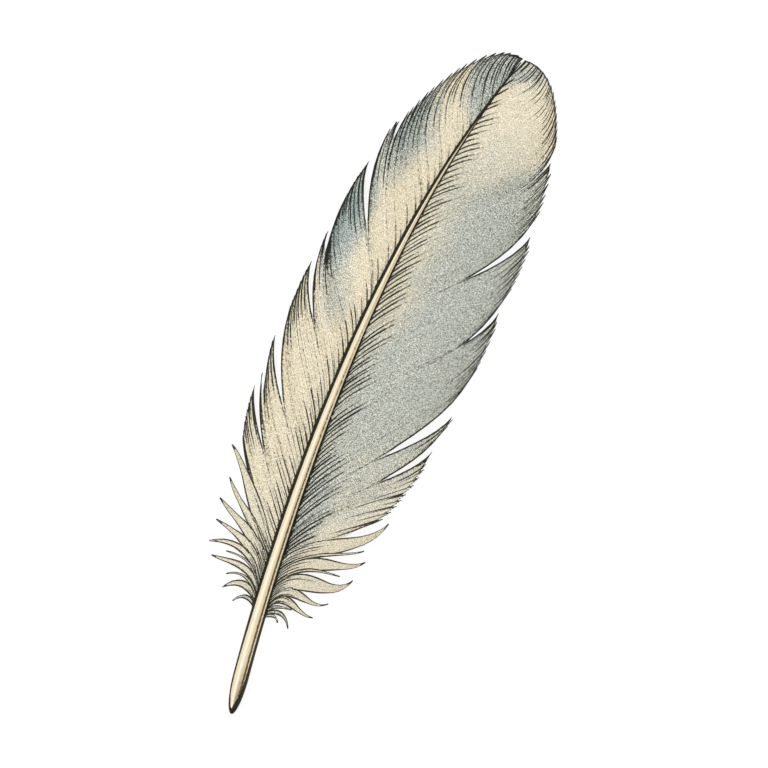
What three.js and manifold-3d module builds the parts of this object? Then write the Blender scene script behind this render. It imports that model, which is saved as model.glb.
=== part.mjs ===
// A loose wing feather lying on its underside: a quill, a narrow and a broad vane, and free locks at its foot.
// Millimetres, +Z up, +Y from the quill's foot to its tip, +X towards the broad vane.
// A place on the feather is [across, along]: outwards from the quill's axis, and along it from the foot.

import * as THREE from 'three';
import { mergeVertices } from 'three/addons/utils/BufferGeometryUtils.js';
import Module from 'manifold-3d';

// Quill
const LENGTH = 178;
const BARE_LENGTH = 24;
const FOOT_ROUNDING = 10;
const QUILL_RADIUS = 2.05;
const TIP_RADIUS = 0.15;
const TAPER_POWER = 1.4;
const QUILL_SIDES = 16;
const QUILL_STEPS = 22;
const FOOT_STEPS = [0, 0.25, 1, 2.5, 5, FOOT_ROUNDING];

// Sideways bow of the quill, and its arch above the surface
const BOW = 9.2;
const BOW_SKEW = 0.26;
const BOW_FLATNESS = 0.13;
const ARCH = 5;
const ARCH_POWER = 1.5;
const TIP_HEIGHT = 0.5;

// Vanes and locks
const VANE_THICKNESS = 0.5;
const LOCK_TIP_THICKNESS = 0.3;
const LOCK_TIP_WIDTH = 0.3;
const GAP = 0.3;
const VANE_LIFT = 0.25;
const LEFT_SPAN = 19.5;
const RIGHT_SPAN = 30.2;
const BASE_SPAN_SHARE = 0.6;
const FULL_SPAN_ALONG = 70;
const SHEET_CELLS = [7, 28];
const CURVE_STEPS = 8;
const LOCK_STEPS = 8;
const LEFT = -1;
const RIGHT = 1;

// Webs between the clefts of each vane, from base to tip. An edge is the place along the quill where it leaves,
// two bends and its end; the rim's two bends lie between the ends of the lower and the upper edge.
const LEFT_WEBS = [
  {
    lower: [43, [4.5, 49], [13.5, 57], [17, 64.3]],
    rim: [[18.3, 68.5], [18.9, 73]],
    upper: [51, [4.5, 60], [17.5, 70], [19.3, 78.2]],
  },
  {
    lower: [50, [4.5, 58.5], [16, 70], [18.7, 81.9]],
    rim: [[18.9, 85], [19.3, 88]],
    upper: [64, [4.2, 72.5], [17.3, 82], [19.2, 91.3]],
  },
  {
    lower: [63, [4.2, 71], [16.5, 82.5], [18.2, 97]],
    rim: [[18.6, 101.5], [18.5, 107]],
    upper: [82.5, [3.8, 90.5], [17, 101], [18.4, 111]],
  },
  {
    lower: [81.5, [3.8, 89], [16.5, 101.5], [18, 117]],
    rim: [[18.5, 123], [18.2, 130]],
    upper: [111.5, [3.2, 117], [16.5, 130], [17.2, 138.3]],
  },
  {
    lower: [110.5, [3.2, 116], [15.5, 130], [16.6, 144]],
    rim: [[15.6, 157], [9.5, 178]],
    upper: [174.5, [0.5, 176], [0.5, 177.5], [0.5, 178.7]],
  },
];
const RIGHT_WEBS = [
  {
    lower: [41.5, [5, 47.5], [22, 51], [26, 67.5]],
    rim: [[27, 71.5], [27.6, 75]],
    upper: [49.5, [6, 58.5], [25.8, 69.5], [28, 78.8]],
  },
  {
    lower: [47.5, [6, 56], [25.3, 70], [28.2, 83.5]],
    rim: [[28.7, 85.5], [29.2, 87.5]],
    upper: [56, [7, 66], [26.5, 78.5], [29.4, 89.2]],
  },
  {
    lower: [55, [5, 60.5], [29.3, 83.5], [29.6, 100]],
    rim: [[30.4, 106], [30, 113]],
    upper: [82, [4.6, 87.3], [28.8, 106], [29.3, 119.8]],
  },
  {
    lower: [81, [4.6, 86.8], [28.3, 101], [28.8, 124]],
    rim: [[29.1, 130], [28.3, 136.5]],
    upper: [103.5, [4, 108.8], [26.3, 128], [27.1, 142.2]],
  },
  {
    lower: [102.5, [4, 107.8], [25.5, 126], [25.7, 145.5]],
    rim: [[25.3, 151.5], [22.8, 157.5]],
    upper: [128, [3.3, 133], [20.3, 149], [21.2, 162.2]],
  },
  {
    lower: [127, [3.3, 132.3], [20.2, 146.5], [20.4, 159.5]],
    rim: [[19.8, 171], [9, 182.5]],
    upper: [174.5, [0.5, 176], [0.5, 177.5], [0.5, 178.7]],
  },
];

// Free locks, from the foot upwards: where the lower and the upper edge leave the quill, their bends, and the tip.
const LEFT_LOCKS = [
  { roots: [26.9, 27.6], lower: [[2.9, 28.7], [5.1, 29.2]], upper: [[3, 29.3], [5.3, 30]], tip: [7.1, 26.9] },
  { roots: [27.9, 28.9], lower: [[3.3, 31.2], [7, 32]], upper: [[3.5, 32.4], [7.5, 33.8]], tip: [10.5, 29.3] },
  { roots: [29.1, 29.5], lower: [[4, 33.5], [7.5, 34.4]], upper: [[4, 34], [7.5, 34.9]], tip: [10.6, 32.7] },
  { roots: [29.7, 30.9], lower: [[4.5, 37.3], [11.5, 34.7]], upper: [[4.5, 38.5], [12, 36]], tip: [15.5, 36] },
  { roots: [31.1, 31.5], lower: [[4.6, 37.9], [8.5, 38]], upper: [[4.6, 38.2], [8.5, 38.4]], tip: [12.3, 38] },
  { roots: [31.7, 33], lower: [[5, 39.7], [11, 40.6]], upper: [[5, 40.3], [11, 42.6]], tip: [17.1, 39.1] },
  { roots: [33.2, 34.7], lower: [[5, 40.6], [12, 42.4]], upper: [[5, 43], [11.5, 43.7]], tip: [17.1, 44.6] },
  { roots: [34.9, 37.2], lower: [[5, 43.2], [13, 45]], upper: [[5, 45], [12.5, 47.3]], tip: [17.9, 49.8] },
  { roots: [37.5, 39.7], lower: [[5.5, 45.5], [13.8, 49]], upper: [[6, 47], [12.5, 50.5]], tip: [17.2, 55.3] },
  { roots: [40, 42.5], lower: [[6.5, 46.7], [15.5, 60]], upper: [[5.5, 48.6], [14.7, 61]], tip: [19.4, 62.9] },
];
const RIGHT_LOCKS = [
  { roots: [25.2, 25.6], lower: [[3.1, 26.2], [4.4, 26.2]], upper: [[3.2, 26.8], [4.6, 26.6]], tip: [5.2, 24.8] },
  { roots: [25.8, 26.5], lower: [[3.8, 27.8], [6.6, 27.3]], upper: [[4, 28.4], [7, 28]], tip: [8.1, 24.1] },
  { roots: [26.7, 27.1], lower: [[3.2, 28.9], [5.8, 28.6]], upper: [[3.2, 29.4], [5.8, 29.1]], tip: [7.7, 28.9] },
  { roots: [27.3, 28.3], lower: [[4.5, 34], [9, 27.5]], upper: [[5, 35.5], [9.5, 28]], tip: [13.3, 28.5] },
  { roots: [28.5, 29.9], lower: [[5.5, 37.4], [11.5, 29]], upper: [[6, 38.7], [12, 29.5]], tip: [16, 33] },
  { roots: [30.2, 32.9], lower: [[6.5, 39.3], [16, 31.5]], upper: [[7, 42.5], [16.5, 34.5]], tip: [20.1, 40.5] },
  { roots: [33.2, 33.7], lower: [[6, 40.8], [12, 40]], upper: [[6, 41.4], [12, 40.6]], tip: [16.7, 40.5] },
  { roots: [34, 36.2], lower: [[6.5, 43.2], [17.5, 40.5]], upper: [[7, 46], [18, 42]], tip: [21.7, 46] },
  { roots: [36.5, 37.1], lower: [[6, 44.6], [16.5, 44.9]], upper: [[6, 45.2], [16.5, 45.6]], tip: [20.5, 48.6] },
  { roots: [37.4, 41], lower: [[6, 46.5], [20.5, 45.4]], upper: [[6.5, 48], [21.5, 50.5]], tip: [24.1, 57.3] },
];

// Finishes
const HORN = { color: 0xe9d8b4, roughness: 0.45, metalness: 0 };
const VANE = { color: 0xbfc0b4, roughness: 0.85, metalness: 0 };
const DOWN = { color: 0xe2d6bd, roughness: 0.9, metalness: 0 };

const wasm = await Module();
wasm.setup();

// Sideways place of the quill's axis at a place along it
function bowAt(along) {
  const share = along / LENGTH;
  const side = 2 * share - 1;
  return -BOW * 4 * share * (1 - share) * (1 + BOW_SKEW * side + BOW_FLATNESS * side * side);
}

// Radius of the quill: an ellipse at the foot, straight where it is bare, then a slow taper
function quillRadius(along) {
  if (along < FOOT_ROUNDING) {
    return QUILL_RADIUS * Math.sqrt(1 - (1 - along / FOOT_ROUNDING) ** 2);
  }
  const share = THREE.MathUtils.clamp((along - BARE_LENGTH) / (LENGTH - BARE_LENGTH), 0, 1);
  return THREE.MathUtils.lerp(QUILL_RADIUS, TIP_RADIUS, share ** TAPER_POWER);
}

// Height of the quill's axis: the bare foot lies along the surface on one of its flats, and the rest arches
function axisHeight(along) {
  const foot = QUILL_RADIUS * Math.cos(Math.PI / QUILL_SIDES);
  const share = THREE.MathUtils.clamp((along - BARE_LENGTH) / (LENGTH - BARE_LENGTH), 0, 1);
  const fall = THREE.MathUtils.smoothstep(share, 0, 1);
  const rise = Math.sin(Math.PI * share) ** ARCH_POWER;
  return THREE.MathUtils.lerp(foot, TIP_HEIGHT, fall) + ARCH * rise;
}

// Middle height of a vane: highest at the quill, down to the surface at its full span
function vaneHeight(across, along) {
  const base = THREE.MathUtils.smoothstep(along, BARE_LENGTH, FULL_SPAN_ALONG);
  const share = THREE.MathUtils.lerp(BASE_SPAN_SHARE, 1, base);
  const span = share * (across < 0 ? LEFT_SPAN : RIGHT_SPAN);
  const top = axisHeight(along) + VANE_LIFT * quillRadius(along);
  const low = VANE_THICKNESS / 2;
  const outwards = Math.min(1, Math.abs(across) / span);
  return low + (top - low) * (1 - outwards ** 2);
}

// A point of the straight feather moved to the bowed one
function place(across, along, height) {
  const step = 0.01;
  const slope = (bowAt(along + step) - bowAt(along - step)) / (2 * step);
  const stretch = Math.hypot(1, slope);
  return [bowAt(along) + across / stretch, along - (across * slope) / stretch, height];
}

// Every corner of a geometry moved by a rule, with shared corners merged
function reshaped(geometry, rule) {
  geometry.deleteAttribute('normal');
  geometry.deleteAttribute('uv');
  const position = geometry.getAttribute('position');
  for (let i = 0; i < position.count; i += 1) {
    position.setXYZ(i, ...rule(position.getX(i), position.getY(i), position.getZ(i)));
  }
  return mergeVertices(geometry);
}

function toSolid(geometry) {
  const vertProperties = geometry.getAttribute('position').array;
  const triVerts = Uint32Array.from(geometry.getIndex().array);
  return new wasm.Manifold(new wasm.Mesh({ numProp: 3, vertProperties, triVerts }));
}

function toGeometry(solid) {
  const { vertProperties, triVerts } = solid.getMesh();
  const geometry = new THREE.BufferGeometry();
  geometry.setAttribute('position', new THREE.BufferAttribute(vertProperties, 3));
  geometry.setIndex(new THREE.BufferAttribute(triVerts, 1));
  return geometry;
}

function piece(name, geometry, finish) {
  geometry.computeVertexNormals();
  const mesh = new THREE.Mesh(geometry, new THREE.MeshStandardMaterial(finish));
  mesh.name = name;
  return mesh;
}

function quill() {
  const profile = FOOT_STEPS.map((along) => new THREE.Vector2(quillRadius(along), along));
  for (let i = 0; i <= QUILL_STEPS; i += 1) {
    const along = THREE.MathUtils.lerp(BARE_LENGTH, LENGTH, i / QUILL_STEPS);
    profile.push(new THREE.Vector2(quillRadius(along), along));
  }
  profile.push(new THREE.Vector2(0, LENGTH));
  const lathe = new THREE.LatheGeometry(profile, QUILL_SIDES, Math.PI / QUILL_SIDES);
  return reshaped(lathe, (x, y, z) => place(x, y, axisHeight(y) + z));
}

// Where an edge leaves the quill, clear of its side
function rootAt(along) {
  return [quillRadius(along) + GAP, along];
}

function webOutline(side, web) {
  const out = ([across, along]) => [side * across, along];
  const [lowRoot, lowBend, lowReach, shoulder] = web.lower;
  const [highRoot, highBend, highReach, tip] = web.upper;
  const shape = new THREE.Shape();
  shape.moveTo(...out(rootAt(lowRoot)));
  shape.bezierCurveTo(...out(lowBend), ...out(lowReach), ...out(shoulder));
  shape.bezierCurveTo(...out(web.rim[0]), ...out(web.rim[1]), ...out(tip));
  shape.bezierCurveTo(...out(highReach), ...out(highBend), ...out(rootAt(highRoot)));
  for (let i = 1; i < CURVE_STEPS; i += 1) {
    shape.lineTo(...out(rootAt(THREE.MathUtils.lerp(highRoot, lowRoot, i / CURVE_STEPS))));
  }
  return shape;
}

// A vane: an arched sheet trimmed to the webs' outlines, which run together near the quill
function vane(side, webs) {
  const depth = 4 * ARCH;
  const outlines = webs.map((web) => {
    const options = { depth, bevelEnabled: false, curveSegments: CURVE_STEPS };
    const prism = new THREE.ExtrudeGeometry(webOutline(side, web), options);
    return toSolid(reshaped(prism, (x, y, z) => place(x, y, z - ARCH)));
  });
  const trim = outlines.reduce((joined, outline) => joined.add(outline));
  const margin = 1;
  const span = (side === LEFT ? LEFT_SPAN : RIGHT_SPAN) + margin;
  const length = LENGTH + 4 * margin - BARE_LENGTH;
  const box = new THREE.BoxGeometry(span, length, VANE_THICKNESS, ...SHEET_CELLS, 1);
  const sheet = reshaped(box, (x, y, z) => {
    const across = x + (side * span) / 2;
    const along = y + BARE_LENGTH + length / 2;
    return place(across, along, vaneHeight(across, along) + z);
  });
  return toGeometry(toSolid(sheet).intersect(trim));
}

// A lock: a flat blade between two curved edges that meet at its tip
function lock(side, { roots, lower, upper, tip }) {
  const point = ([across, along]) => new THREE.Vector2(across, along);
  const aim = point(tip).sub(point(lower[1])).normalize();
  const tipEdge = new THREE.Vector2(-aim.y, aim.x).multiplyScalar(LOCK_TIP_WIDTH / 2);
  const curve = (root, bends, end) => new THREE.CubicBezierCurve(point(rootAt(root)), ...bends.map(point), end);
  const lowEdge = curve(roots[0], lower, point(tip).sub(tipEdge));
  const highEdge = curve(roots[1], upper, point(tip).add(tipEdge));
  const box = new THREE.BoxGeometry(1, 1, 1, 1, LOCK_STEPS, 1);
  return reshaped(box, (x, y, z) => {
    const out = y + 0.5;
    const share = side === RIGHT ? 0.5 - x : x + 0.5;
    const spot = lowEdge.getPoint(out).lerp(highEdge.getPoint(out), share);
    const thickness = THREE.MathUtils.lerp(VANE_THICKNESS, LOCK_TIP_THICKNESS, out);
    const across = side * spot.x;
    return place(across, spot.y, vaneHeight(across, spot.y) + z * thickness);
  });
}

const feather = new THREE.Group();
feather.add(piece('shaft', quill(), HORN));
feather.add(piece('left_vane', vane(LEFT, LEFT_WEBS), VANE));
feather.add(piece('right_vane', vane(RIGHT, RIGHT_WEBS), VANE));
LEFT_LOCKS.forEach((row, i) => feather.add(piece(`left_down_${i + 1}`, lock(LEFT, row), DOWN)));
RIGHT_LOCKS.forEach((row, i) => feather.add(piece(`right_down_${i + 1}`, lock(RIGHT, row), DOWN)));

// The origin is at the middle of the feather's box, on the surface that it lies on
const box = new THREE.Box3().setFromObject(feather);
const middle = box.getCenter(new THREE.Vector3());
feather.position.set(-middle.x, -middle.y, -box.min.z);

export default feather;
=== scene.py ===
import math

import bmesh
import bpy
import numpy as np
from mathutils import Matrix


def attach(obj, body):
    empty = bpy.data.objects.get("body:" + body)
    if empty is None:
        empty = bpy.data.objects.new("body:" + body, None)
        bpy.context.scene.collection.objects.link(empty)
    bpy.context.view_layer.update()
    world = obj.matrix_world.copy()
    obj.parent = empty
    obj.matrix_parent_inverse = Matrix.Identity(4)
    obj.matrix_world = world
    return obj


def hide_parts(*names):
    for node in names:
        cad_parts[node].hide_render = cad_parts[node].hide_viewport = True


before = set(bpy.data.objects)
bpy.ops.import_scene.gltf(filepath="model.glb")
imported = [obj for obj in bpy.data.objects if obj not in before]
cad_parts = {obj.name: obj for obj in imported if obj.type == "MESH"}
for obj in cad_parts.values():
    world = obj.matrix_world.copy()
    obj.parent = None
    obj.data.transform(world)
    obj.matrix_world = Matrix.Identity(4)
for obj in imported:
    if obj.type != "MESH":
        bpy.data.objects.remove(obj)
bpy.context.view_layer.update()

bl_info = {
    "name": "Wing feather",
    "version": (1, 0, 0),
    "blender": (4, 5, 0),
    "location": "View3D > Sidebar > Feather",
    "description": "A loose wing feather with its quill, two barbed vanes and the free locks at its foot",
    "category": "Object",
}

BODY = "root"

# Places are [across, along] in millimetres: outwards from the quill's axis, and along it from the foot.
MM = 0.001
LEFT = -1
RIGHT = 1

# Quill
LENGTH = 178
BARE_LENGTH = 24
FOOT_ROUNDING = 10
QUILL_RADIUS = 2.05
TIP_RADIUS = 0.15
TAPER_POWER = 1.4
QUILL_FLATS = 16

# Sideways bow of the quill, and its arch above the surface
BOW = 9.2
BOW_SKEW = 0.26
BOW_FLATNESS = 0.13
ARCH = 5
ARCH_POWER = 1.5
TIP_HEIGHT = 0.5

# Arch of the vanes
RIM_HEIGHT = 0.25
VANE_LIFT = 0.25
SPANS = {LEFT: 19.5, RIGHT: 30.2}
BASE_SPAN_SHARE = 0.6
FULL_SPAN_ALONG = 70

# Webs between the clefts of each vane, from base to tip. An edge is the place along the quill where it
# leaves, two bends and its end. The rim's two bends lie between the ends of the lower and the upper edge.
# "parts" is the share of the way out at which a web parts from the next one, "teeth" is how far its tufts
# stand out, and "bow" is how far its middle barbs bend footwards, as a share of its rim.
WEBS = {
    LEFT: [
        {
            "lower": [43, [5.3, 47.2], [13.5, 57], [17, 64.3]],
            "rim": [[18.3, 68.5], [18.9, 73]],
            "upper": [51, [5.3, 57], [17.5, 70], [19.3, 78.2]],
            "parts": 0.53, "teeth": 0.35, "bow": 0,
        },
        {
            "lower": [50, [5.3, 55.5], [15.7, 68.8], [18, 79.4]],
            "rim": [[18.2, 80.3], [18.4, 81.1]],
            "upper": [54.5, [5.2, 60], [16.3, 71.2], [18.6, 81.8]],
            "parts": 0.84, "teeth": 0.35, "bow": 0.03,
        },
        {
            "lower": [54, [5.2, 59.5], [16, 71], [17.8, 82.7]],
            "rim": [[18.5, 85.5], [19.1, 88.3]],
            "upper": [64, [5, 69.5], [17.3, 82], [19.2, 91.3]],
            "parts": 0.5, "teeth": 0.35, "bow": 0,
        },
        {
            "lower": [63, [5, 68], [16.5, 82.5], [18.2, 97]],
            "rim": [[18.6, 101.5], [18.5, 107]],
            "upper": [82.5, [3.8, 90.5], [17, 101], [18.4, 111]],
            "parts": 0.55, "teeth": 0.35, "bow": 0.03,
        },
        {
            "lower": [81.5, [3.8, 89], [16.2, 100.5], [17.5, 113.8]],
            "rim": [[17.7, 115.5], [17.85, 117.3]],
            "upper": [88, [3.8, 95], [16, 105.5], [17.95, 119.1]],
            "parts": 0.87, "teeth": 0.35, "bow": 0.07,
        },
        {
            "lower": [87.5, [3.8, 94.5], [15.5, 105], [16.9, 118.6]],
            "rim": [[17.6, 124], [18.1, 130.5]],
            "upper": [111.5, [3.2, 117], [16.5, 130], [17.2, 138.3]],
            "parts": 0.5, "teeth": 0.35, "bow": 0.07,
        },
        {
            "lower": [110.5, [3.2, 116], [15.5, 130], [16.6, 144]],
            "rim": [[16.5, 145.8], [16.2, 147.8]],
            "upper": [119.5, [2.8, 124.4], [14.7, 135.4], [15.9, 149.8]],
            "parts": 0.9, "teeth": 0.8, "bow": 0.07,
        },
        {
            "lower": [119, [2.8, 123.9], [13.9, 135.3], [15.1, 149.4]],
            "rim": [[13.6, 162.2], [8.2, 178.1]],
            "upper": [174.5, [0.1, 176], [0, 177.2], [0.2, 178.9]],
            "parts": 0.2, "teeth": 0.8, "bow": 0.04,
        },
    ],
    RIGHT: [
        {
            "lower": [41, [4.5, 45.2], [12, 48.6], [19.6, 55.4]],
            "rim": [[23.5, 59.3], [26.8, 70]],
            "upper": [49.5, [6, 58.5], [25.8, 69.5], [28, 78.8]],
            "parts": 0.57, "teeth": 1, "bow": -0.05,
        },
        {
            "lower": [47.5, [6, 56], [25.3, 70], [28.2, 83.5]],
            "rim": [[28.7, 85.5], [29.2, 87.5]],
            "upper": [56, [7, 66], [26.5, 78.5], [29.4, 89.2]],
            "parts": 0.49, "teeth": 0.8, "bow": 0.02,
        },
        {
            "lower": [55, [5, 60.5], [29.3, 83.5], [29.6, 100]],
            "rim": [[30.4, 106], [30, 113]],
            "upper": [82, [4.6, 87.3], [28.8, 106], [29.3, 119.8]],
            "parts": 0.72, "teeth": 1.1, "bow": 0,
        },
        {
            "lower": [81, [4.6, 86.8], [28.3, 101], [28.8, 124]],
            "rim": [[29.1, 130], [28.3, 136.5]],
            "upper": [103.5, [4, 108.8], [26.3, 128], [27.1, 142.2]],
            "parts": 0.6, "teeth": 1.1, "bow": 0,
        },
        {
            "lower": [102.5, [4, 107.8], [25.5, 126], [25.7, 145.5]],
            "rim": [[25.3, 151.5], [22.8, 157.5]],
            "upper": [128, [6, 134.5], [21.4, 148.5], [21.3, 162.2]],
            "parts": 0.85, "teeth": 1, "bow": 0.03,
        },
        {
            "lower": [127, [6, 133.5], [24.8, 150.4], [19.8, 166.5]],
            "rim": [[18.2, 169], [9.9, 183.1]],
            "upper": [174.5, [0.2, 175.5], [0.15, 177], [0.5, 179]],
            "parts": 0.2, "teeth": 0.5, "bow": 0.055,
        },
    ],
}

# Free locks, from the foot upwards: the places along the quill where the lower and the upper edge leave,
# the two bends of the lower edge, those of the upper edge, and the tip.
LOCKS = {
    LEFT: [
        ([26.9, 27.6], [[2.9, 28.7], [5.1, 29.2]], [[3, 29.3], [5.3, 30]], [7.1, 26.9]),
        ([27.9, 28.9], [[3.3, 31.2], [7, 32]], [[3.5, 32.4], [7.5, 33.8]], [10.5, 29.3]),
        ([29.1, 29.5], [[4, 33.5], [7.5, 34.4]], [[4, 34], [7.5, 34.9]], [10.6, 32.7]),
        ([29.7, 30.9], [[4.5, 37.3], [11.5, 34.7]], [[4.5, 38.5], [12, 36]], [15.5, 36]),
        ([31.1, 31.5], [[4.6, 37.9], [8.5, 38]], [[4.6, 38.2], [8.5, 38.4]], [12.3, 38]),
        ([31.7, 33], [[5, 39.7], [11, 40.6]], [[5, 40.3], [11, 42.6]], [17.1, 39.1]),
        ([33.2, 34.7], [[5, 40.6], [12, 42.4]], [[5, 43], [11.5, 43.7]], [17.1, 44.6]),
        ([34.9, 37.2], [[5, 43.2], [13, 45]], [[5, 45], [12.5, 47.3]], [17.9, 49.8]),
        ([37.5, 39.7], [[5.5, 45.5], [13.8, 49]], [[6, 47], [12.5, 50.5]], [17.2, 55.3]),
        ([40, 42.5], [[7.8, 46.5], [15.3, 59]], [[5.5, 48.6], [14.7, 61]], [19.4, 62.9]),
    ],
    RIGHT: [
        ([25.2, 25.6], [[3.1, 26.2], [4.4, 26.2]], [[3.2, 26.8], [4.6, 26.6]], [5.2, 24.8]),
        ([25.8, 26.5], [[3.8, 27.8], [6.6, 27.3]], [[4, 28.4], [7, 28]], [8.1, 24.1]),
        ([26.7, 27.1], [[3.2, 28.9], [5.8, 28.6]], [[3.2, 29.4], [5.8, 29.1]], [7.7, 28.9]),
        ([27.3, 28.3], [[4.3, 33.5], [8.8, 27.1]], [[5, 35.5], [9.5, 28]], [13.3, 28.5]),
        ([28.5, 29.9], [[5.2, 36.6], [11.2, 28.6]], [[6, 38.7], [12, 29.5]], [16, 33]),
        ([30.2, 32.9], [[6.5, 39], [16.2, 30.9]], [[7, 42.5], [16.5, 34.5]], [20.1, 40.5]),
        ([33.2, 33.7], [[6, 40.8], [12, 40]], [[6, 41.4], [12, 40.6]], [16.7, 40.5]),
        ([34, 36.2], [[6.5, 43], [17.8, 39.8]], [[7, 46], [18, 42]], [21.7, 46]),
        ([36.5, 37.1], [[6, 44.6], [16.5, 44.9]], [[6, 45.2], [16.5, 45.6]], [20.5, 48.6]),
        ([37.4, 41], [[6, 46.2], [20.8, 44.6]], [[6.5, 48], [21.5, 50.5]], [24.1, 57.3]),
    ],
}

# Dark strokes out from the quill and in from the rim, at a few places along the quill: their reach along a
# barb in millimetres, their weight, and the reach of the painted shade between those at the quill
ROOT_STROKES = {
    LEFT: ((24, 50, 70, 90, 110, 150, 178), (9, 11.5, 10.5, 8.5, 7, 6, 3)),
    RIGHT: ((24, 50, 80, 110, 140, 160, 178), (13, 15, 13.5, 12, 9, 6.5, 4)),
}
ROOT_WEIGHTS = {
    LEFT: ((24, 90, 115, 130, 178), (0.7, 0.68, 0.58, 0.42, 0.35)),
    RIGHT: ((24, 100, 130, 178), (0.86, 0.82, 0.7, 0.68)),
}
ROOT_PAINTED_SHADES = {
    LEFT: ((24, 60, 90, 178), (0.5, 0.3, 0, 0)),
    RIGHT: ((24, 60, 95, 120, 178), (1.4, 1.3, 0.9, 0.3, 0.2)),
}
RIM_STROKES = {
    LEFT: ((24, 64, 82, 178), (14, 15, 17, 17)),
    RIGHT: ((24, 46, 56, 125, 178), (13, 13, 14, 12, 8)),
}
RIM_WEIGHT = 0.9
# A stroke's fall towards its end, and the faint tail beyond it that breaks into dots
STROKE_GAIN = 1.7
TAIL_INK = 0.19
TAIL_REACH = 2.0
# Way between two strokes across the barbs, and a stroke's half width and its softness
ROOT_STROKE_GAPS = {
    LEFT: ((24, 80, 110, 178), (1.05, 1.1, 1.4, 1.8)),
    RIGHT: ((24, 50, 60, 85, 125, 145, 178), (0.66, 0.7, 0.8, 0.82, 0.85, 1.1, 1.1)),
}
ROOT_STROKE_WIDTHS = {LEFT: (0.08, 0.1), RIGHT: (0.12, 0.08)}
RIM_STROKE_GAPS = {
    LEFT: ((24, 178), (1.2, 1.2)),
    RIGHT: ((24, 46, 56, 178), (2.4, 2.4, 1.1, 1.2)),
}
RIM_STROKE_WIDTH = (0.08, 0.1)
# Half width of the dark line along a strand
LINE_HALF = 0.16
# Share of the barbs with a dotted line along them, and how strong it is
DOTTED = {LEFT: 0.12, RIGHT: 0.015}
DOT_RANGE = (0.15, 0.4)
# Widths of a strand's wings, and how they narrow just before the tip
WING_LEAST = 0.06
WING_MOST = 0.36
WING_TIP = 0.1
WING_NARROWING = 0.9

# Slate washes over the cream ground, one of them painted shade beside the quill: middle across and along,
# half sizes, and strength
WASHES = {
    LEFT: [
        (3, 172, 6.5, 10, 0.6),
        (15.5, 152, 7.5, 12, 0.57),
        (14, 153, 4, 8, 0.2),
        (10, 152, 6, 9, 0.18),
        (12, 140, 5, 6, 0.2),
        (16, 125, 6.3, 13, 0.8),
        (10, 107, 6, 8, 0.3),
        (19, 90, 4, 14, 0.2),
        (18, 72, 4, 8, 0.1),
    ],
    RIGHT: [
        (17, 106, 24, 46, 0.46),
        (8, 134, 11, 18, 0.12),
        (25, 120, 7, 24, 0.1),
        (20, 147, 9, 13, 0.14),
        (22, 154, 8, 16, 0.13),
        (8, 152, 10, 12, 0.12),
        (3, 176, 5, 4, 0.45),
        # Painted shade beside the quill near its foot
        (3, 52, 6, 16, 0.35),
        (14, 60, 8, 8, 0.14),
        (3, 114, 8, 20, -0.4),
    ],
}
WASH_SLANT = 0.55

# Seed of what is uneven, the step that slopes are measured on, and a length that stands for none
SEED = 7
SLOPE_STEP = 0.01
LEAST_LENGTH = 1e-9


def linear(red, green, blue):
    """A display colour from 0 to 255 as the linear one that shaders take."""
    shares = [channel / 255 for channel in (red, green, blue)]
    return tuple(s / 12.92 if s <= 0.04045 else ((s + 0.055) / 1.055) ** 2.4 for s in shares)


class QuillSettings(bpy.types.PropertyGroup):
    """Sizes and colours of the horn quill."""

    sides: bpy.props.IntProperty(name="Sides", description="Facets around the quill", default=48, min=12)
    rings: bpy.props.IntProperty(name="Rings", description="Rings along the quill", default=72, min=20)
    groove: bpy.props.FloatProperty(
        name="Groove",
        description="Depth of the groove as a share of the radius",
        default=0.07,
        subtype="FACTOR",
    )
    cream: bpy.props.FloatVectorProperty(
        name="Cream", description="Horn colour", default=linear(228, 214, 184), subtype="COLOR"
    )
    # pale: colour of the painted highlight strip
    pale: bpy.props.FloatVectorProperty(
        name="Pale",
        description="Colour of the pale strip",
        default=linear(250, 241, 222),
        subtype="COLOR",
    )
    tan: bpy.props.FloatVectorProperty(
        name="Tan", description="Colour beside the groove", default=linear(219, 199, 160), subtype="COLOR"
    )
    # brown: colour of the painted shade in the groove and at the foot
    brown: bpy.props.FloatVectorProperty(
        name="Brown", description="Colour in the groove", default=linear(84, 66, 40), subtype="COLOR"
    )
    # dark: colour of the painted shade on the quill's flanks
    dark: bpy.props.FloatVectorProperty(
        name="Dark", description="Colour of the flanks", default=linear(32, 31, 20), subtype="COLOR"
    )


class VaneSettings(bpy.types.PropertyGroup):
    """Sizes and colours of the barbed vanes."""

    pitch: bpy.props.FloatProperty(
        name="Pitch", description="Way between two barbs", default=0.00026, unit="LENGTH", precision=5
    )
    ridge: bpy.props.FloatProperty(
        name="Ridge", description="Height of a barb's ridge", default=0.00009, unit="LENGTH", precision=5
    )
    overlap: bpy.props.FloatProperty(
        name="Overlap",
        description="Share by which a barb lies over its neighbour",
        default=0.2,
        subtype="FACTOR",
    )
    cream: bpy.props.FloatVectorProperty(
        name="Cream", description="Ground colour", default=linear(251, 241, 216), subtype="COLOR"
    )
    mist: bpy.props.FloatVectorProperty(
        name="Mist",
        description="Colour of the thin washes",
        default=linear(228, 231, 221),
        subtype="COLOR",
    )
    slate: bpy.props.FloatVectorProperty(
        name="Slate",
        description="Colour of the full washes",
        default=linear(170, 190, 190),
        subtype="COLOR",
    )
    # dark: also the colour of the painted shade beside the quill
    dark: bpy.props.FloatVectorProperty(
        name="Dark", description="Colour of the dark barbs", default=linear(36, 37, 26), subtype="COLOR"
    )


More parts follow.
